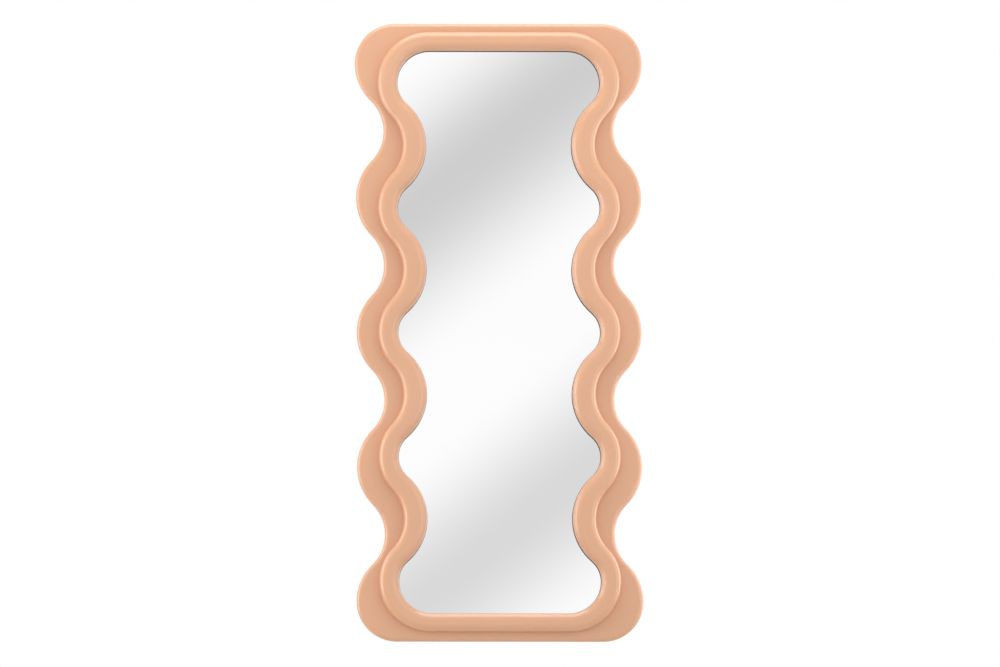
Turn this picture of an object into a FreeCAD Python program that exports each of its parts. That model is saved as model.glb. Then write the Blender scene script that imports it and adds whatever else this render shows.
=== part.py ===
import FreeCAD
import Part

import math
import os

# A tall wall mirror in a wavy two-tier frame. Millimetres. +Z is up, the mirror faces -Y, and the
# origin lies on the wall, behind the mirror's centre. A flat base tier carries a raised ring, and
# the glass is held from behind under the ring's lip. Both tiers are joined from four lengths.

Vector = FreeCAD.Vector

# ---- overall size ----
overall_height = 1650.0
overall_width = 763.0            # across the corner bulges
base_thickness = 18.0
ring_height = 30.0               # how far the ring stands above the base tier

# ---- base tier outline ----
base_corner_radius = 107.0
base_bulge_inset = 2.5           # the bulges down the sides stop this far inside the corners
base_wave_depth = 73.5           # from the widest place of a bulge to the narrowest of a waist
base_bulge_radius = 142.0
base_edge_radius = 11.0
base_back_edge_radius = 1.5

# ---- ring outline ----
ring_margin_end = 24.5           # base tier seen above and below the ring
ring_margin_side = 57.0          # base tier seen beside the ring at a bulge
ring_corner_radius = 134.0
ring_wave_depth = 66.0
ring_bulge_radius = 126.0
ring_outer_shoulder = 17.0
ring_inner_shoulder = 22.0

# ---- visible edge of the mirror, which is the ring's inner edge ----
ring_width_end = 49.0
ring_width_side = 52.5
mirror_corner_radius = 87.0
mirror_wave_depth = 76.0
mirror_bulge_radius = 71.0

# ---- glazing, measured outwards from the mirror's visible edge ----
strip_bead = 1.0                 # of the strip that shows inside the ring's lip
glass_reach = 10.0
glass_clearance = 2.0
board_reach = 32.0
board_clearance = 0.5
strip_thickness = 8.0
glass_thickness = 4.0
film_thickness = 0.3
board_thickness = 4.0
block_length = 40.0

# ---- joints between the lengths of a tier ----
ring_joint_inset = 19.0          # from where the mirror's top edge begins to curve, inwards
joint_stagger = 45.0             # the base tier's joints lie this much further in
dowel_radius = 4.0
dowel_length = 40.0
dowel_chamfer = 1.0
dowel_spacing = 20.0
dowel_glue_gap = 0.05
dowel_end_gap = 1.0

# ---- screws ----
tier_screw_radius = 2.0
tier_screw_head_radius = 4.0
tier_screw_length = 35.0
tier_screw_joint_gap = 50.0      # from a base tier joint to the nearest screw in the rail
board_screw_radius = 1.5
board_screw_head_radius = 3.0
board_screw_head_height = 1.8
board_screw_length = 12.0
board_screw_inset = 22.0         # from the mirror's visible edge to the screw
board_screw_joint_gap = 25.0
hanger_screw_radius = 2.25
hanger_screw_head_radius = 4.0
hanger_screw_head_height = 2.4
hanger_screw_length = 32.0
pan_head_bevel = 1.0
screw_clearance = 0.2            # round a shank, in a piece that the screw passes through
screw_point_length = 4.0
drive_width = 0.9
drive_depth = 1.1
drive_margin = 1.5               # from the tip of the cross recess to the head's rim

# ---- hangers ----
strap_width = 20.0
strap_thickness = 1.8
strap_inset = 47.5               # from the mirror's visible edge to the strap's middle
pivot_rise = 26.5                # the pivot, above the narrowest place of the mirror
strap_hole_pitch = 18.0
strap_hole_end = 10.0            # from the last hole to the strap's end
loop_wire_radius = 2.0
loop_leg = 12.0                  # from the pivot to where the loop's round end begins
loop_side_gap = 0.5              # between the strap's side and the loop's leg
loop_strap_gap = 0.3             # between the strap's back and the hanging loop
loop_screw_gap = 1.5             # between the hanging loop and the nearer screw head
pivot_clearance = 0.08

# ---- wall bumpers ----
bumper_height = 10.0
bumper_foot_radius = 11.0
bumper_tip_radius = 8.5
bumper_rim = 2.0                 # height of the straight rim at the foot
bumper_edge_inset = 45.0         # from the base tier's widest place to the bumper's middle
bumper_rise = 36.0               # above the widest place of the corner bulge

# ---- places along Y, from the wall towards the room ----
base_back = -bumper_height
base_front = base_back - base_thickness
ring_crest = base_front - ring_height
glass_front = base_front + strip_thickness
glass_back = glass_front + glass_thickness
film_back = glass_back + film_thickness
board_front = base_back - board_thickness

bulges_per_side = 5              # the two corner bulges among them

overshoot = 1.0                  # cutting shapes reach this far past the faces they cut
diagonal = math.sqrt(0.5)        # along each axis, of a slanted line of length one


def half_steps():
    """Numbers of the bulges and waists up one side, in half pitches from mid-height."""
    return range(1 - bulges_per_side, bulges_per_side)


def is_waist(half_step):
    """Waists lie between the bulges, and both ends are bulges."""
    return (half_step + bulges_per_side) % 2 == 0


class Wave:
    """A closed outline with bulges down each side and straight ends.

    Each side is a chain of arcs that touch each other: bulges curve outwards and waists inwards.
    The bulge radius is given, and the waist radius follows, because two arcs that touch at the
    side's turning points have radii with a fixed sum.
    """

    def __init__(self, half_height, corner_radius, half_width, corner_half_width,
                 wave_depth, bulge_radius):
        self.half_height = half_height
        self.corner_radius = corner_radius
        self.half_width = half_width
        self.corner_half_width = corner_half_width
        self.waist = half_width - wave_depth
        self.bulge_radius = bulge_radius
        self.pitch = 2 * (half_height - corner_radius) / (bulges_per_side - 1)
        self.waist_radius = radius_sum(wave_depth, self.pitch) - bulge_radius
        corner_depth = corner_half_width - self.waist
        self.corner_bulge_radius = radius_sum(corner_depth, self.pitch) - self.waist_radius

    def corner_x(self):
        """Where the straight top edge ends and the corner's arc begins."""
        return self.corner_half_width - self.corner_radius

    def corner_z(self):
        """Height of the corner bulge's widest place."""
        return self.half_height - self.corner_radius

    def side_circles(self):
        """Centre and radius of each arc up the right side; a waist has a negative radius."""
        circles = []
        for half_step in half_steps():
            z = half_step * self.pitch / 2
            if is_waist(half_step):
                circles.append((self.waist + self.waist_radius, z, -self.waist_radius))
            elif abs(half_step) == bulges_per_side - 1:
                radius = self.corner_bulge_radius
                circles.append((self.corner_half_width - radius, z, radius))
            else:
                circles.append((self.half_width - self.bulge_radius, z, self.bulge_radius))
        return circles

    def side_points(self, grow):
        """Triples of start, middle and end point of each arc up the right side."""
        circles = [(x, z, r + grow) for x, z, r in self.side_circles()]
        joints = [touching_point(a, b) for a, b in zip(circles, circles[1:])]
        x, z, radius = circles[0]
        starts = [(x + radius, z)] + joints
        x, z, radius = circles[-1]
        ends = joints + [(x + radius, z)]
        return [(start, arc_middle(circle, start, end), end)
                for circle, start, end in zip(circles, starts, ends)]

    def corner_points(self, grow):
        """The quarter arc from the right side to the top edge."""
        x = self.corner_x()
        z = self.corner_z()
        radius = self.corner_radius + grow
        reach = radius * diagonal
        return (x + radius, z), (x + reach, z + reach), (x, z + radius)

    def wire(self, grow=0.0, y=0.0):
        """The outline moved outwards by grow, in the plane at y."""
        side = self.side_points(grow)
        start, middle, end = self.corner_points(grow)
        right = [mirrored_arc((end, middle, start), 1, -1)] + side + [(start, middle, end)]
        left = [mirrored_arc(arc[::-1], -1, 1) for arc in reversed(right)]
        edges = [arc_edge(arc, y) for arc in right]
        edges.append(line_edge(right[-1][2], left[0][0], y))
        edges += [arc_edge(arc, y) for arc in left]
        edges.append(line_edge(left[-1][2], right[0][0], y))
        return Part.Wire(edges)

    def plate(self, grow, back, front):
        """A flat plate with this outline, from y = back to y = front."""
        face = Part.Face(self.wire(grow, back))
        return face.extrude(Vector(0, front - back, 0))


def radius_sum(depth, pitch):
    """Sum of the radii of two touching arcs that rise by depth over half a pitch."""
    return (depth ** 2 + (pitch / 2) ** 2) / (2 * depth)


def touching_point(first, second):
    """Where a bulge and a waist touch. A waist's radius is negative."""
    x1, z1, r1 = first
    x2, z2, r2 = second
    share = abs(r1) / (abs(r1) + abs(r2))
    return x1 + (x2 - x1) * share, z1 + (z2 - z1) * share


def arc_middle(circle, start, end):
    """Middle point of the arc from start to end. A waist's arc lies on its circle's left."""
    x, z, radius = circle
    half_chord = math.hypot(end[0] - start[0], end[1] - start[1]) / 2
    bulge_x = (start[0] + end[0]) / 2 - x
    bulge_z = (start[1] + end[1]) / 2 - z
    reach = math.sqrt(radius ** 2 - half_chord ** 2)
    return x + bulge_x * abs(radius) / reach, z + bulge_z * abs(radius) / reach


def mirrored_arc(arc, flip_x, flip_z):
    return tuple((x * flip_x, z * flip_z) for x, z in arc)


def arc_edge(arc, y):
    return Part.Arc(*[Vector(x, y, z) for x, z in arc]).toShape()


def line_edge(start, end, y):
    return Part.LineSegment(Vector(start[0], y, start[1]), Vector(end[0], y, end[1])).toShape()


base_wave = Wave(
    half_height=overall_height / 2,
    corner_radius=base_corner_radius,
    half_width=overall_width / 2 - base_bulge_inset,
    corner_half_width=overall_width / 2,
    wave_depth=base_wave_depth,
    bulge_radius=base_bulge_radius,
)
ring_half_width = base_wave.half_width - ring_margin_side
ring_wave = Wave(
    half_height=base_wave.half_height - ring_margin_end,
    corner_radius=ring_corner_radius,
    half_width=ring_half_width,
    corner_half_width=ring_half_width,
    wave_depth=ring_wave_depth,
    bulge_radius=ring_bulge_radius,
)
mirror_half_width = ring_half_width - ring_width_side
mirror_wave = Wave(
    half_height=ring_wave.half_height - ring_width_end,
    corner_radius=mirror_corner_radius,
    half_width=mirror_half_width,
    corner_half_width=mirror_half_width,
    wave_depth=mirror_wave_depth,
    bulge_radius=mirror_bulge_radius,
)


# ---- small helpers ----
def box(x_range, y_range, z_range):
    """A box between two limits along each axis, in either order."""
    low = [min(pair) for pair in (x_range, y_range, z_range)]
    size = [abs(pair[1] - pair[0]) for pair in (x_range, y_range, z_range)]
    return Part.makeBox(*size, Vector(*low))


def turned(profile, place, direction):
    """A solid of revolution: profile is (radius, height) pairs, turned about direction."""
    points = [Vector(radius, 0, height) for radius, height in profile]
    face = Part.Face(Part.makePolygon(points + [points[0]]))
    solid = face.revolve(Vector(0, 0, 0), Vector(0, 0, 1), 360)
    solid.Placement = FreeCAD.Placement(
        Vector(*place), FreeCAD.Rotation(Vector(0, 0, 1), Vector(*direction)))
    return solid


def rod(radius, start, end):
    """A round rod from one point to another."""
    start = Vector(*start)
    along = Vector(*end) - start
    return Part.makeCylinder(radius, along.Length, start, along)


def edges_on(shape, wire):
    """The shape's edges that lie on a given outline."""
    tolerance = 0.001
    found = []
    for edge in shape.Edges:
        low, high = edge.ParameterRange
        points = [edge.valueAt(low), edge.valueAt((low + high) / 2), edge.valueAt(high)]
        if all(wire.distToShape(Part.Vertex(point))[0] < tolerance for point in points):
            found.append(edge)
    return found


def write(name, solids):
    """Write one sub-part; several solids become one group."""
    shape = solids[0] if len(solids) == 1 else Part.makeCompound(solids)
    shape.exportStep(os.path.join("parts", name + ".step"))


def quarter_lengths(tier, joint_x):
    """Cut a whole tier into two stiles and two rails at its four joints."""
    bounds = tier.BoundBox
    depth = (bounds.YMin - overshoot, bounds.YMax + overshoot)
    lowest = bounds.ZMin - overshoot
    highest = bounds.ZMax + overshoot
    left = tier.common(box((bounds.XMin - overshoot, -joint_x), depth, (lowest, highest)))
    right = tier.common(box((joint_x, bounds.XMax + overshoot), depth, (lowest, highest)))
    top = tier.common(box((-joint_x, joint_x), depth, (0, highest)))
    bottom = tier.common(box((-joint_x, joint_x), depth, (lowest, 0)))
    return {"stile_left": left, "stile_right": right, "rail_top": top, "rail_bottom": bottom}


# ---- where joints, screws and hangers go ----
ring_joint_x = mirror_wave.corner_x() - ring_joint_inset
base_joint_x = ring_joint_x - joint_stagger


def side_places(inset):
    """Points beside each bulge and waist of the mirror's edge, both sides, inset from it."""
    places = []
    for half_step in half_steps():
        half_width = mirror_wave.waist if is_waist(half_step) else mirror_wave.half_width
        z = half_step * mirror_wave.pitch / 2
        for side in (-1, 1):
            places.append((side * (half_width + inset), z, half_step))
    return places


def end_places(inset, joint_gap):
    """Three points along the top rail and three along the bottom rail."""
    x = base_joint_x - joint_gap
    z = mirror_wave.half_height + inset
    return [(step * x, end * z) for end in (-1, 1) for step in (-1, 0, 1)]


def corner_places(inset):
    """One point on the diagonal of each corner."""
    reach = (mirror_wave.corner_radius + inset) * diagonal
    x = mirror_wave.corner_x() + reach
    z = mirror_wave.corner_z() + reach
    return [(side * x, end * z) for side in (-1, 1) for end in (-1, 1)]


# The hangers are screwed on at the topmost waist. The loop's legs pass just outside the strap, and
# the screw heads stay clear below the hanging loop.
hanger_half_step = bulges_per_side - 2
strap_x = mirror_wave.waist + strap_inset
pivot_z = hanger_half_step * mirror_wave.pitch / 2 + pivot_rise
leg_x = strap_width / 2 + loop_side_gap + loop_wire_radius
loop_reach = loop_leg + leg_x + loop_wire_radius
upper_hole_z = pivot_z - loop_reach - loop_screw_gap - hanger_screw_head_radius
lower_hole_z = upper_hole_z - strap_hole_pitch
strap_end_z = lower_hole_z - strap_hole_end
hanger_screw_places = [(side * strap_x, z) for side in (-1, 1)
                       for z in (lower_hole_z, upper_hole_z)]

# The tier screws run midway between the board's rebate and the ring's outer edge. The hangers'
# own long screws take the place of a tier screw at their waist.
rebate_reach = board_reach + board_clearance
tier_screw_inset = (rebate_reach + ring_width_end) / 2
tier_screw_places = [(x, z) for x, z, half_step in side_places(tier_screw_inset)
                     if half_step != hanger_half_step]
tier_screw_places += corner_places(tier_screw_inset)
tier_screw_places += end_places(tier_screw_inset, tier_screw_joint_gap)

board_screw_places = [(x, z) for x, z, half_step in side_places(board_screw_inset)]
board_screw_places += corner_places(board_screw_inset)
board_screw_places += end_places(board_screw_inset, board_screw_joint_gap)


# ---- screws ----
def cross_recess(head_top, head_radius):
    """The cross-shaped recess of a screw head whose top is at head_top on Y."""
    floor = head_top - drive_depth
    spread = head_radius - drive_margin
    half = drive_width / 2
    flat = box((-spread, spread), (floor, head_top), (-half, half))
    upright = box((-half, half), (floor, head_top), (-spread, spread))
    return flat.fuse(upright)


def countersunk_profile(radius, head_radius, length):
    """Half section of a countersunk screw; its head's top is at height zero, its point below."""
    cone = head_radius - radius
    return [(0, 0), (head_radius, 0), (radius, -cone),
            (radius, -length + screw_point_length), (0, -length)]


def pan_profile(radius, head_radius, head_height, length):
    """Half section of a pan-head screw; its head's underside is at height zero."""
    return [(0, head_height), (head_radius - pan_head_bevel, head_height),
            (head_radius, head_height - pan_head_bevel), (head_radius, 0),
            (radius, 0), (radius, -length + screw_point_length), (0, -length)]


def screws(profile, head_top, head_radius, places, seat):
    """Copies of one screw, driven towards the room with its head at y = seat."""
    screw = turned(profile, (0, 0, 0), (0, 1, 0))
    screw = screw.cut(cross_recess(head_top, head_radius))
    copies = []
    for x, z in places:
        copy = screw.copy()
        copy.translate(Vector(x, seat, z))
        copies.append(copy)
    return copies


def thread_holes(profile, places, seat):
    """The holes that such screws fill with their head and thread."""
    tool = turned(profile, (0, 0, 0), (0, 1, 0))
    copies = []
    for x, z in places:
        copy = tool.copy()
        copy.translate(Vector(x, seat, z))
        copies.append(copy)
    return copies


def shank_holes(radius, places, back, front):
    """The holes that such screws pass through freely."""
    return [rod(radius + screw_clearance, (x, back, z), (x, front, z)) for x, z in places]


tier_screw = countersunk_profile(tier_screw_radius, tier_screw_head_radius, tier_screw_length)
board_screw = pan_profile(board_screw_radius, board_screw_head_radius,
                          board_screw_head_height, board_screw_length)
hanger_screw = pan_profile(hanger_screw_radius, hanger_screw_head_radius,
                           hanger_screw_head_height, hanger_screw_length)
strap_back = base_back + strap_thickness


# ---- dowels ----
def dowel_places(joint_x, z_middle, y):
    """Middle point of each dowel: two across each of the four joints."""
    return [(side * joint_x, y, end * (z_middle + shift * dowel_spacing / 2))
            for side in (-1, 1) for end in (-1, 1) for shift in (-1, 1)]


rebate_z = mirror_wave.half_height + rebate_reach
base_dowel_places = dowel_places(
    base_joint_x, (rebate_z + base_wave.half_height) / 2, (base_back + base_front) / 2)
ring_dowel_places = dowel_places(
    ring_joint_x, (mirror_wave.half_height + ring_wave.half_height) / 2,
    (base_front + ring_crest) / 2)


def dowel(place):
    """A dowel along X with chamfered ends."""
    half = dowel_length / 2
    tip = dowel_radius - dowel_chamfer
    profile = [(0, -half), (tip, -half), (dowel_radius, dowel_chamfer - half),
               (dowel_radius, half - dowel_chamfer), (tip, half), (0, half)]
    return turned(profile, place, (1, 0, 0))


def dowel_hole(place):
    x, y, z = place
    half = dowel_length / 2 + dowel_end_gap
    return rod(dowel_radius + dowel_glue_gap, (x - half, y, z), (x + half, y, z))


# ---- the two tiers ----
def base_tier():
    """The flat tier: through hole for the glass, rebate for the backing board, rounded edges."""
    plate = base_wave.plate(0, base_back, base_front)
    plate = plate.makeFillet(
        base_edge_radius, edges_on(plate, base_wave.wire(0, base_front)))
    plate = plate.makeFillet(
        base_back_edge_radius, edges_on(plate, base_wave.wire(0, base_back)))
    pocket = mirror_wave.plate(
        glass_reach + glass_clearance, base_back + overshoot, base_front - overshoot)
    rebate = mirror_wave.plate(rebate_reach, base_back + overshoot, board_front)
    tools = [pocket, rebate]
    tools += [dowel_hole(place) for place in base_dowel_places]
    tools += thread_holes(tier_screw, tier_screw_places, base_back)
    tools += shank_holes(tier_screw_radius, tier_screw_places, base_back, base_front)
    tools += thread_holes(board_screw, board_screw_places, base_back)
    tools += thread_holes(hanger_screw, hanger_screw_places, strap_back)
    return plate.cut(tools)


def ring_tier():
    """The raised tier, with both of its shoulders rounded."""
    outer = ring_wave.plate(0, base_front, ring_crest)
    inner = mirror_wave.plate(0, base_front + overshoot, ring_crest - overshoot)
    ring = outer.cut(inner)
    ring = ring.makeFillet(
        ring_outer_shoulder, edges_on(ring, ring_wave.wire(0, ring_crest)))
    ring = ring.makeFillet(
        ring_inner_shoulder, edges_on(ring, mirror_wave.wire(0, ring_crest)))
    tools = [dowel_hole(place) for place in ring_dowel_places]
    tools += thread_holes(tier_screw, tier_screw_places, base_back)
    tools += thread_holes(hanger_screw, hanger_screw_places, strap_back)
    return ring.cut(tools)


# ---- glazing ----
def glazing_strip():
    """A dark rubber strip between the ring's back and the glass, which shows inside the lip."""
    outer = mirror_wave.plate(glass_reach, base_front, glass_front)
    inner = mirror_wave.plate(-strip_bead, base_front - overshoot, glass_front + overshoot)
    return outer.cut(inner)


def setting_blocks():
    """Two blocks that carry the glass on the bottom of its pocket, at a quarter of its edge."""
    top = -(mirror_wave.half_height + glass_reach)
    blocks = []
    for side in (-1, 1):
        middle = side * mirror_wave.corner_x() / 2
        blocks.append(box((middle - block_length / 2, middle + block_length / 2),
                          (glass_back, glass_front), (top - glass_clearance, top)))
    return blocks


def backing_board():
    board = mirror_wave.plate(board_reach, board_front, base_back)
    return board.cut(shank_holes(board_screw_radius, board_screw_places, board_front, base_back))


# ---- hangers ----
pivot_y = base_back + strap_thickness + loop_strap_gap + loop_wire_radius
eye_inner_radius = loop_wire_radius + pivot_clearance
eye_outer_radius = eye_inner_radius + strap_thickness


def hanger_strap(side):
    """A steel strap with a rolled eye at its top, a round end and two screw holes."""
    x = side * strap_x
    half = strap_width / 2
    depth = (base_back, strap_back)
    strap = box((x - half, x + half), depth, (strap_end_z + half, pivot_z))
    strap = strap.fuse(rod(half, (x, base_back, strap_end_z + half),
                           (x, strap_back, strap_end_z + half)))
    strap = strap.fuse(rod(eye_outer_radius, (x - half, pivot_y, pivot_z),
                           (x + half, pivot_y, pivot_z)))
    strap = strap.cut(rod(eye_inner_radius, (x - half - overshoot, pivot_y, pivot_z),
                          (x + half + overshoot, pivot_y, pivot_z)))
    strap = strap.cut(shank_holes(hanger_screw_radius, [(x, lower_hole_z), (x, upper_hole_z)],
                                  base_back - overshoot, strap_back + overshoot))
    return strap.removeSplitter()


def hanger_loop(side):
    """A D-shaped wire loop: straight bar in the eye, two legs and a round end, hanging down.

    The bar stays straight as far as the strap's sides, where it bends into the legs.
    """
    x = side * strap_x
    bend = loop_side_gap + loop_wire_radius
    leg_end = pivot_z - loop_leg
    points = [(-leg_x + bend, pivot_z), (leg_x - bend, pivot_z), (leg_x, pivot_z - bend),
              (leg_x, leg_end), (-leg_x, leg_end), (-leg_x, pivot_z - bend)]
    place = [Vector(x + px, pivot_y, pz) for px, pz in points]
    inset = bend * (1 - diagonal)
    right_bend = Vector(x + leg_x - inset, pivot_y, pivot_z - inset)
    left_bend = Vector(x - leg_x + inset, pivot_y, pivot_z - inset)
    lowest = Vector(x, pivot_y, leg_end - leg_x)
    path = Part.Wire([
        Part.LineSegment(place[0], place[1]).toShape(),
        Part.Arc(place[1], right_bend, place[2]).toShape(),
        Part.LineSegment(place[2], place[3]).toShape(),
        Part.Arc(place[3], lowest, place[4]).toShape(),
        Part.LineSegment(place[4], place[5]).toShape(),
        Part.Arc(place[5], left_bend, place[0]).toShape(),
    ])
    section = Part.Wire(Part.makeCircle(loop_wire_radius, place[0], Vector(1, 0, 0)))
    return path.makePipeShell([section], True, True)


# ---- bumpers ----
def wall_bumpers():
    """Four tapered rubber bumpers between the base tier and the wall, near its corners."""
    x = base_wave.corner_half_width - bumper_edge_inset
    z = base_wave.corner_z() + bumper_rise
    profile = [(0, 0), (bumper_foot_radius, 0), (bumper_foot_radius, bumper_rim),
               (bumper_tip_radius, bumper_height), (0, bumper_height)]
    return [turned(profile, (side * x, base_back, end * z), (0, 1, 0))
            for side in (-1, 1) for end in (-1, 1)]


def build():
    os.makedirs("parts", exist_ok=True)
    for name, length in quarter_lengths(base_tier(), base_joint_x).items():
        write("base_" + name, [length])
    for name, length in quarter_lengths(ring_tier(), ring_joint_x).items():
        write("ring_" + name, [length])
    write("base_dowels", [dowel(place) for place in base_dowel_places])
    write("ring_dowels", [dowel(place) for place in ring_dowel_places])
    write("tier_screws", screws(tier_screw, 0, tier_screw_head_radius,
                                tier_screw_places, base_back))
    write("glazing_strip", [glazing_strip()])
    write("mirror_glass", [mirror_wave.plate(glass_reach, glass_front, glass_back)])
    write("safety_film", [mirror_wave.plate(glass_reach, glass_back, film_back)])
    write("foam_sheet", [mirror_wave.plate(glass_reach, film_back, board_front)])
    write("setting_blocks", setting_blocks())
    write("backing_board", [backing_board()])
    write("backing_screws", screws(board_screw, board_screw_head_height,
                                   board_screw_head_radius, board_screw_places, base_back))
    for side, word in ((-1, "left"), (1, "right")):
        write("hanger_strap_" + word, [hanger_strap(side)])
        write("hanger_loop_" + word, [hanger_loop(side)])
    write("hanger_screws", screws(hanger_screw, hanger_screw_head_height,
                                  hanger_screw_head_radius, hanger_screw_places, strap_back))
    write("wall_bumpers", wall_bumpers())


build()
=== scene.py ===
import math

import bpy
from mathutils import Matrix, Vector


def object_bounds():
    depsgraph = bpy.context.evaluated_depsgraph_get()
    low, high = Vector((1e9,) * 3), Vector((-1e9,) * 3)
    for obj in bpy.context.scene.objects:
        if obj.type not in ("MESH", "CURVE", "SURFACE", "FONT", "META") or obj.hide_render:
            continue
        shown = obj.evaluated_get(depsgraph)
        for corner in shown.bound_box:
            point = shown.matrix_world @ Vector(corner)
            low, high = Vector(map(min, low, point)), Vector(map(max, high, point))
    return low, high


# A tall wavy wall mirror, hung in a white studio. Metres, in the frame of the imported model:
# +Z up, the mirror faces -Y, and the wall plane is Y = 0.

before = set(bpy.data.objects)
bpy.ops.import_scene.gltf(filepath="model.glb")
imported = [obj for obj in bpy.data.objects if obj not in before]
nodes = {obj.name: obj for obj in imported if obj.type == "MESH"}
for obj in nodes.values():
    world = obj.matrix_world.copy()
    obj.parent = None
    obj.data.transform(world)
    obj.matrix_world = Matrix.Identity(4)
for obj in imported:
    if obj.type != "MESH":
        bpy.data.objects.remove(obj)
cad_low, cad_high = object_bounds()


# ---- colours ----
def linear(red, green, blue):
    """A colour given as 0 to 255 on screen, as Blender's nodes want it."""
    channels = []
    for value in (red, green, blue):
        share = value / 255
        if share <= 0.04045:
            channels.append(share / 12.92)
        else:
            channels.append(((share + 0.055) / 1.055) ** 2.4)
    return (*channels, 1.0)


# ---- node helpers ----
class Surface:
    """A material with one Principled shader, and short ways to add what feeds it."""

    def __init__(self, name, **constants):
        self.material = bpy.data.materials.new(name)
        self.material.use_nodes = True
        self.tree = self.material.node_tree
        self.shader = self.tree.nodes["Principled BSDF"]
        for socket, value in constants.items():
            self.shader.inputs[socket.replace("_", " ")].default_value = value
        self.coordinates = self.node("ShaderNodeTexCoord").outputs["Object"]

    def node(self, kind, **settings):
        made = self.tree.nodes.new(kind)
        for key, value in settings.items():
            setattr(made, key, value)
        return made

    def join(self, source, target):
        self.tree.links.new(source, target)

    def stretched(self, scale):
        """Object coordinates multiplied along each axis."""
        mapping = self.node("ShaderNodeMapping")
        mapping.inputs["Scale"].default_value = scale
        self.join(self.coordinates, mapping.inputs["Vector"])
        return mapping.outputs["Vector"]

    def noise(self, scale, detail=3.0, roughness=0.55, vector=None):
        texture = self.node("ShaderNodeTexNoise")
        texture.inputs["Scale"].default_value = scale
        texture.inputs["Detail"].default_value = detail
        texture.inputs["Roughness"].default_value = roughness
        self.join(vector or self.coordinates, texture.inputs["Vector"])
        return texture.outputs["Fac"]

    def cells(self, scale):
        texture = self.node("ShaderNodeTexVoronoi")
        texture.inputs["Scale"].default_value = scale
        self.join(self.coordinates, texture.inputs["Vector"])
        return texture.outputs["Distance"]

    def ramp(self, source, stops):
        """A colour ramp; stops are (place, colour) pairs."""
        made = self.node("ShaderNodeValToRGB")
        elements = made.color_ramp.elements
        while len(elements) < len(stops):
            elements.new(0.5)
        for element, (place, colour) in zip(elements, stops):
            element.position = place
            element.color = colour
        self.join(source, made.inputs["Fac"])
        return made.outputs["Color"]

    def spread(self, source, low, high):
        """Stretch a noise value, which stays near a half, to the range from low to high."""
        made = self.node("ShaderNodeMapRange")
        made.inputs["From Min"].default_value = 0.3
        made.inputs["From Max"].default_value = 0.7
        made.inputs["To Min"].default_value = low
        made.inputs["To Max"].default_value = high
        self.join(source, made.inputs["Value"])
        return made.outputs["Result"]

    def mixed(self, factor, first, second, blend="MIX"):
        made = self.node("ShaderNodeMix", data_type="RGBA", blend_type=blend)
        colour_inputs = [s for s in made.inputs if s.type == "RGBA"]
        factor_input = made.inputs["Factor"]
        for socket, value in ((factor_input, factor), (colour_inputs[0], first),
                              (colour_inputs[1], second)):
            if isinstance(value, bpy.types.NodeSocket):
                self.join(value, socket)
            else:
                socket.default_value = value
        return [s for s in made.outputs if s.type == "RGBA"][0]

    def bump(self, height, strength, distance, below=None):
        made = self.node("ShaderNodeBump")
        made.inputs["Strength"].default_value = strength
        made.inputs["Distance"].default_value = distance
        self.join(height, made.inputs["Height"])
        if below is not None:
            self.join(below, made.inputs["Normal"])
        return made.outputs["Normal"]

    def feed(self, socket, source):
        self.join(source, self.shader.inputs[socket])


def dress(material, *names):
    """Give CAD nodes a material."""
    for name in names:
        mesh = nodes[name].data
        mesh.materials.clear()
        mesh.materials.append(material)


# ---- satin lacquer on the frame ----
def make_lacquer():
    lacquer = Surface("satin_lacquer", IOR=1.85)
    cloudy = lacquer.noise(2.2, detail=2.0)
    speckle = lacquer.noise(420.0, detail=2.0)
    tone = lacquer.ramp(cloudy, [(0.35, linear(213, 157, 118)), (0.65, linear(217, 161, 122))])
    fine = lacquer.ramp(speckle, [(0.3, (0.975, 0.975, 0.975, 1)), (0.7, (1.02, 1.02, 1.02, 1))])
    lacquer.feed("Base Color", lacquer.mixed(1.0, tone, fine, "MULTIPLY"))
    lacquer.feed("Roughness", lacquer.spread(lacquer.noise(9.0), 0.30, 0.35))
    peel = lacquer.noise(170.0, detail=2.0, roughness=0.4)
    grit = lacquer.noise(1500.0, detail=2.0)
    under = lacquer.bump(peel, 0.02, 0.0003)
    lacquer.feed("Normal", lacquer.bump(grit, 0.03, 0.0001, under))
    return lacquer.material


dress(make_lacquer(),
      "base_stile_left", "base_stile_right", "base_rail_top", "base_rail_bottom",
      "ring_stile_left", "ring_stile_right", "ring_rail_top", "ring_rail_bottom")


# ---- silvered glass ----
def make_mirror():
    mirror = Surface("silvered_glass", Metallic=1.0)
    silver = mirror.ramp(mirror.noise(1.4, detail=1.0),
                         [(0.35, (0.965, 0.968, 0.966, 1)), (0.65, (0.975, 0.977, 0.976, 1))])
    mirror.feed("Base Color", silver)
    mirror.feed("Roughness", mirror.spread(mirror.noise(5.0), 0.004, 0.016))
    return mirror.material


dress(make_mirror(), "mirror_glass")


# ---- hardboard, film, foam, beech ----
def make_hardboard():
    board = Surface("hardboard", Specular_IOR_Level=0.35)
    across = board.noise(160.0, detail=6.0, vector=board.stretched((1.0, 1.0, 0.22)))
    along = board.noise(160.0, detail=6.0, vector=board.stretched((0.22, 1.0, 1.0)))
    fibres = board.mixed(0.5, across, along)
    tone = board.ramp(fibres, [(0.34, linear(86, 58, 38)), (0.5, linear(124, 88, 58)),
                               (0.66, linear(158, 118, 82))])
    patches = board.ramp(board.noise(7.0), [(0.3, (0.88, 0.87, 0.85, 1)), (0.7, (1.05, 1.04, 1.03, 1))])
    board.feed("Base Color", board.mixed(1.0, tone, patches, "MULTIPLY"))
    board.feed("Roughness", board.spread(fibres, 0.45, 0.7))
    board.feed("Normal", board.bump(fibres, 0.25, 0.0004))
    return board.material


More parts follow.
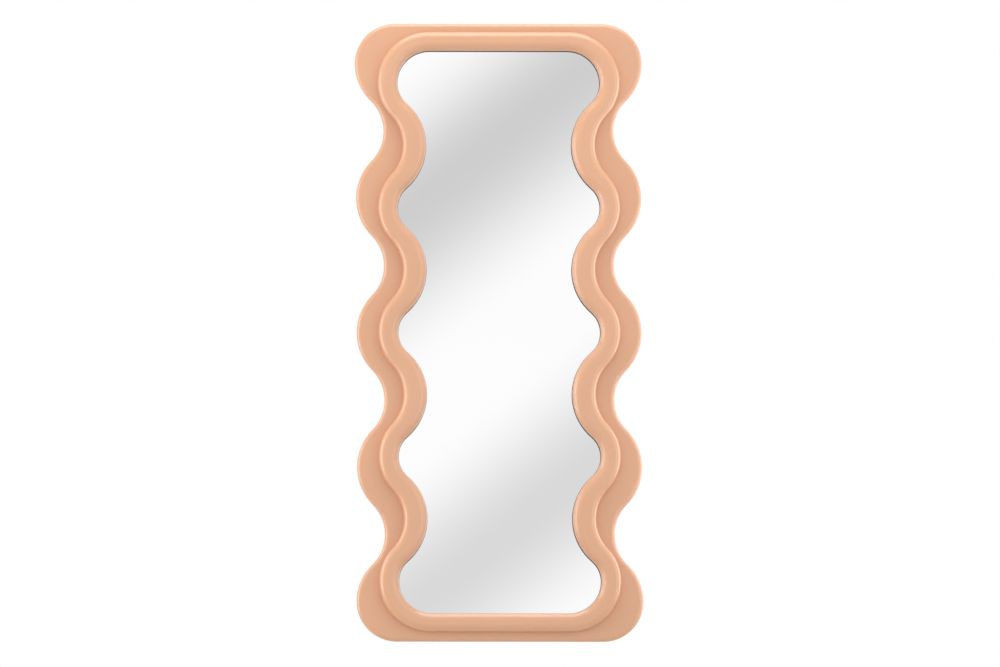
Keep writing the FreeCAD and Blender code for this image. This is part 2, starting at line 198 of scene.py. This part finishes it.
def make_film():
    film = Surface("safety_film", Specular_IOR_Level=0.4)
    weave = film.noise(700.0, detail=2.0)
    film.feed("Base Color", film.ramp(weave, [(0.35, linear(190, 192, 194)),
                                              (0.65, linear(206, 208, 210))]))
    film.feed("Roughness", film.spread(weave, 0.4, 0.6))
    return film.material


def make_foam():
    foam = Surface("closed_cell_foam", Specular_IOR_Level=0.2)
    cell = foam.cells(900.0)
    foam.feed("Base Color", foam.ramp(cell, [(0.1, linear(214, 213, 208)),
                                             (0.6, linear(236, 235, 231))]))
    foam.feed("Roughness", foam.spread(foam.noise(40.0), 0.8, 0.95))
    foam.feed("Normal", foam.bump(cell, 0.4, 0.0004))
    return foam.material


def make_beech():
    beech = Surface("beech", Specular_IOR_Level=0.3)
    grain = beech.noise(220.0, detail=4.0, vector=beech.stretched((0.06, 1.0, 1.0)))
    beech.feed("Base Color", beech.ramp(grain, [(0.3, linear(190, 146, 104)),
                                                (0.7, linear(218, 178, 136))]))
    beech.feed("Roughness", beech.spread(grain, 0.5, 0.7))
    return beech.material


dress(make_hardboard(), "backing_board")
dress(make_film(), "safety_film")
dress(make_foam(), "foam_sheet")
dress(make_beech(), "base_dowels", "ring_dowels")


# ---- zinc-plated steel, and rubber ----
def make_zinc(name, tint, brushed):
    zinc = Surface(name, Metallic=1.0)
    streaks = zinc.noise(300.0, detail=3.0, vector=zinc.stretched(brushed))
    clouds = zinc.noise(120.0, detail=2.0)
    tone = zinc.ramp(clouds, [(0.3, linear(*tint[0])), (0.7, linear(*tint[1]))])
    bright = zinc.ramp(streaks, [(0.3, (0.9, 0.9, 0.9, 1)), (0.7, (1.0, 1.0, 1.0, 1))])
    zinc.feed("Base Color", zinc.mixed(1.0, tone, bright, "MULTIPLY"))
    zinc.feed("Roughness", zinc.spread(streaks, 0.26, 0.42))
    zinc.feed("Normal", zinc.bump(streaks, 0.08, 0.0002))
    return zinc.material


def make_rubber():
    rubber = Surface("black_rubber", Specular_IOR_Level=0.4)
    mottle = rubber.noise(160.0, detail=4.0)
    rubber.feed("Base Color", rubber.ramp(mottle, [(0.3, linear(38, 38, 39)),
                                                   (0.7, linear(52, 52, 53))]))
    rubber.feed("Roughness", rubber.spread(mottle, 0.55, 0.75))
    rubber.feed("Normal", rubber.bump(mottle, 0.15, 0.0003))
    return rubber.material


dress(make_zinc("zinc_strap", ((196, 197, 190), (212, 212, 204)), (1.0, 1.0, 0.05)),
      "hanger_strap_left", "hanger_strap_right", "hanger_loop_left", "hanger_loop_right")
dress(make_zinc("zinc_screw", ((188, 190, 192), (206, 208, 210)), (1.0, 1.0, 1.0)),
      "tier_screws", "backing_screws", "hanger_screws")
dress(make_rubber(), "wall_bumpers", "setting_blocks", "glazing_strip")


# ---- camera, at the photograph's viewing angle: a little from below and from the left ----
AZIMUTH = math.radians(-2.5)
ELEVATION = math.radians(-6.0)
ROLL = math.radians(0.2)
CAMERA_DISTANCE = 3.5
FRAME_WIDTH = 2.657               # what the picture's width spans at the object
CENTRE_RIGHT = -0.0019            # where the object's centre lies in the picture
CENTRE_UP = 0.0031

towards_camera = Vector((math.sin(AZIMUTH) * math.cos(ELEVATION),
                         -math.cos(AZIMUTH) * math.cos(ELEVATION),
                         math.sin(ELEVATION)))


def make_camera():
    data = bpy.data.cameras.new("studio_camera")
    data.type = "ORTHO"
    data.ortho_scale = FRAME_WIDTH
    data.clip_start = 0.05
    data.clip_end = 100.0
    camera = bpy.data.objects.new("studio_camera", data)
    bpy.context.scene.collection.objects.link(camera)
    bpy.context.scene.camera = camera
    turn = towards_camera.to_track_quat("Z", "Y").to_matrix().to_4x4()
    turn = turn @ Matrix.Rotation(-ROLL, 4, "Z")
    right = turn.col[0].to_3d()
    up = turn.col[1].to_3d()
    middle = (cad_low + cad_high) / 2
    place = middle + towards_camera * CAMERA_DISTANCE - right * CENTRE_RIGHT - up * CENTRE_UP
    camera.matrix_world = Matrix.Translation(place) @ turn


# ---- planes of the studio ----
def stage_material(name):
    material = bpy.data.materials.new(name)
    material.use_nodes = True
    material.node_tree.nodes.clear()
    return material, material.node_tree


def add_plane(name, corners, material):
    mesh = bpy.data.meshes.new(name)
    mesh.from_pydata(corners, [], [(0, 1, 2, 3)])
    mesh.materials.append(material)
    plane = bpy.data.objects.new(name, mesh)
    bpy.context.scene.collection.objects.link(plane)
    return plane


# ---- floor ----
FLOOR_HEIGHT = -1.32
FLOOR_REACH = 40.0
FADE_START = 1.6                  # from the floor's middle, where it begins to fade to white
FADE_END = 5.0
FLOOR_DARK = 0.86                 # the two tones that the camera sees near the object
FLOOR_LIGHT = 0.9
FLOOR_UNSEEN = 0.68               # its tone there for every other ray


def grey(tone):
    return (tone, tone, tone, 1)


def make_floor():
    """A pale matt floor that fades to the white of the background far from the object.

    Near the object it is pale to the camera and a mid grey to other rays, so that it throws less
    light up at the object's underside. The white far part shines on all rays.
    """
    material, tree = stage_material("pale_floor")
    make = tree.nodes.new
    join = tree.links.new
    coordinates = make("ShaderNodeTexCoord").outputs["Object"]

    grain = make("ShaderNodeTexNoise")
    grain.inputs["Scale"].default_value = 3.0
    join(coordinates, grain.inputs["Vector"])
    tone = make("ShaderNodeValToRGB")
    tone.color_ramp.elements[0].color = grey(FLOOR_DARK)
    tone.color_ramp.elements[1].color = grey(FLOOR_LIGHT)
    join(grain.outputs["Fac"], tone.inputs["Fac"])

    seen = make("ShaderNodeMix")
    seen.data_type = "RGBA"
    colour_in = [socket for socket in seen.inputs if socket.type == "RGBA"]
    colour_out = [socket for socket in seen.outputs if socket.type == "RGBA"][0]
    colour_in[0].default_value = grey(FLOOR_UNSEEN)
    join(make("ShaderNodeLightPath").outputs["Is Camera Ray"], seen.inputs["Factor"])
    join(tone.outputs["Color"], colour_in[1])
    near = make("ShaderNodeBsdfDiffuse")
    join(colour_out, near.inputs["Color"])
    far = make("ShaderNodeEmission")
    far.inputs["Strength"].default_value = 1.0

    distance = make("ShaderNodeVectorMath")
    distance.operation = "LENGTH"
    join(coordinates, distance.inputs[0])
    fade = make("ShaderNodeMapRange")
    fade.interpolation_type = "SMOOTHSTEP"
    fade.inputs["From Min"].default_value = FADE_START
    fade.inputs["From Max"].default_value = FADE_END
    join(distance.outputs["Value"], fade.inputs["Value"])
    mix = make("ShaderNodeMixShader")
    join(fade.outputs["Result"], mix.inputs["Fac"])
    join(near.outputs["BSDF"], mix.inputs[1])
    join(far.outputs["Emission"], mix.inputs[2])
    join(mix.outputs["Shader"], make("ShaderNodeOutputMaterial").inputs["Surface"])

    reach = FLOOR_REACH
    corners = [(-reach, -reach, 0), (reach, -reach, 0), (reach, reach, 0), (-reach, reach, 0)]
    floor = add_plane("studio_floor", corners, material)
    floor.location = (0, 0, FLOOR_HEIGHT)


# ---- what the mirror reflects ----
CARD_DISTANCE = 3.6
CARD_REACH = 5.0
BAND_SLOPE = 0.8                  # the bands rise this much for each metre to the right

# Soft grey bands across the card: middle, reach before it, reach after it, and depth.
BANDS = [
    (-0.519, 0.392, 0.475, 0.366),
    (0.554, 0.400, 0.400, 0.290),
]


def make_reflection_card():
    """A white card in front of the mirror with two soft grey bands. Only gloss sees it."""
    material, tree = stage_material("reflection_card")
    make = tree.nodes.new
    join = tree.links.new

    def math_node(operation, first, second=None):
        made = make("ShaderNodeMath")
        made.operation = operation
        for socket, value in zip(made.inputs, (first, second)):
            if isinstance(value, bpy.types.NodeSocket):
                join(value, socket)
            elif value is not None:
                socket.default_value = value
        return made.outputs["Value"]

    # The camera looks at the mirror aslant, so the bands are moved to where it sees the card.
    moved = CARD_DISTANCE / towards_camera.y * (BAND_SLOPE * towards_camera.x - towards_camera.z)
    split = make("ShaderNodeSeparateXYZ")
    join(make("ShaderNodeTexCoord").outputs["Object"], split.inputs["Vector"])
    sloped = math_node("MULTIPLY", split.outputs["X"], BAND_SLOPE)
    slant = math_node("SUBTRACT", sloped, split.outputs["Z"])
    shade = None
    for middle, before, after, depth in BANDS:
        offset = math_node("SUBTRACT", slant, middle + moved)
        rising = math_node("DIVIDE", math_node("MINIMUM", offset, 0.0), before)
        falling = math_node("DIVIDE", math_node("MAXIMUM", offset, 0.0), after)
        reach = math_node("ADD", math_node("ABSOLUTE", rising), falling)
        angle = math_node("MULTIPLY", math_node("MINIMUM", reach, 1.0), math.pi / 2)
        hill = math_node("MULTIPLY", math_node("POWER", math_node("COSINE", angle), 2.0), depth)
        shade = hill if shade is None else math_node("ADD", shade, hill)
    glow = make("ShaderNodeEmission")
    join(math_node("SUBTRACT", 1.0, shade), glow.inputs["Strength"])
    join(glow.outputs["Emission"], make("ShaderNodeOutputMaterial").inputs["Surface"])

    reach = CARD_REACH
    corners = [(-reach, 0, -reach), (reach, 0, -reach), (reach, 0, reach), (-reach, 0, reach)]
    card = add_plane("reflection_card", corners, material)
    card.location = (0, -CARD_DISTANCE, 0)
    card.visible_camera = False
    card.visible_diffuse = False
    card.visible_transmission = False
    card.visible_volume_scatter = False
    card.visible_shadow = False


# ---- lamps and world ----
AMBIENT = 0.84

# Soft boxes that all face the origin: name, place, width and height, and watts.
LAMPS = [
    ("overhead", (0.0, -0.7, 2.61), (2.6, 1.3), 29.0),
    ("above_behind", (0.0, 0.92, 2.54), (2.6, 0.9), 6.0),
    ("left", (-2.64, -0.56, 0.1), (1.2, 2.6), 27.0),
    ("right", (2.67, 0.38, 0.1), (1.2, 2.6), 28.0),
    ("right_front", (1.91, -1.91, 0.1), (0.9, 2.6), 9.0),
]


def add_lamp(name, place, size, power):
    data = bpy.data.lights.new(name, "AREA")
    data.shape = "RECTANGLE"
    data.size, data.size_y = size
    data.energy = power
    lamp = bpy.data.objects.new(name, data)
    bpy.context.scene.collection.objects.link(lamp)
    facing = Vector(place).to_track_quat("Z", "Y").to_matrix().to_4x4()
    lamp.matrix_world = Matrix.Translation(place) @ facing


def make_world():
    """White where it is seen, itself or in gloss and glass, and plain soft light elsewhere."""
    world = bpy.data.worlds.new("studio")
    bpy.context.scene.world = world
    world.use_nodes = True
    tree = world.node_tree
    tree.nodes.clear()
    make = tree.nodes.new
    join = tree.links.new

    def background(strength):
        made = make("ShaderNodeBackground")
        made.inputs["Color"].default_value = (1, 1, 1, 1)
        made.inputs["Strength"].default_value = strength
        return made.outputs["Background"]

    path = make("ShaderNodeLightPath")
    seen = path.outputs["Is Camera Ray"]
    for kind in ("Is Glossy Ray", "Is Transmission Ray"):
        either = make("ShaderNodeMath")
        either.operation = "MAXIMUM"
        join(seen, either.inputs[0])
        join(path.outputs[kind], either.inputs[1])
        seen = either.outputs["Value"]
    mix = make("ShaderNodeMixShader")
    join(seen, mix.inputs["Fac"])
    join(background(AMBIENT), mix.inputs[1])
    join(background(1.0), mix.inputs[2])
    join(mix.outputs["Shader"], make("ShaderNodeOutputWorld").inputs["Surface"])


make_floor()
make_reflection_card()
make_world()
for lamp in LAMPS:
    add_lamp(*lamp)
make_camera()

bpy.context.scene.view_settings.view_transform = "Standard"
